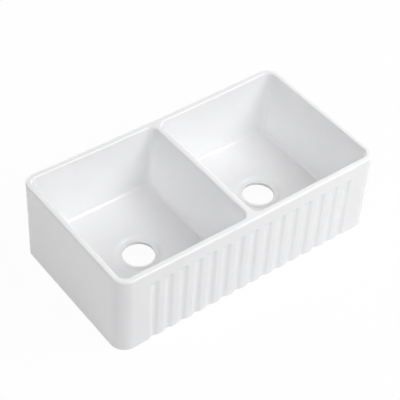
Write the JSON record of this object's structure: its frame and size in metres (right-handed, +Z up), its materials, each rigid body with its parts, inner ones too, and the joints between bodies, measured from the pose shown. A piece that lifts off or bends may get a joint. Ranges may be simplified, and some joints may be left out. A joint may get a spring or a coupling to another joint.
{
  "type": "farmhouse apron front sink",
  "caption": "Wide double bowl kitchen sink with a fluted apron front, soft rounded rim and a dished round drain hole in each bowl.",
  "frame": {"origin": "middle of the base, on the plane that the sink stands on", "axes": "+X along the long side to the user's right, +Z up; the fluted apron faces -Y, towards the user"},
  "size_m": [0.838, 0.457, 0.2538],
  "materials": {
    "glazed_fireclay": "gloss"
  },
  "bodies": {
    "root": {"front_apron": "glazed_fireclay", "rear_wall": "glazed_fireclay", "left_end_wall": "glazed_fireclay", "right_end_wall": "glazed_fireclay", "centre_divider": "glazed_fireclay", "left_bowl_floor": "glazed_fireclay", "right_bowl_floor": "glazed_fireclay", "left_drain_seat": "glazed_fireclay", "right_drain_seat": "glazed_fireclay"}
  },
  "joints": []
}
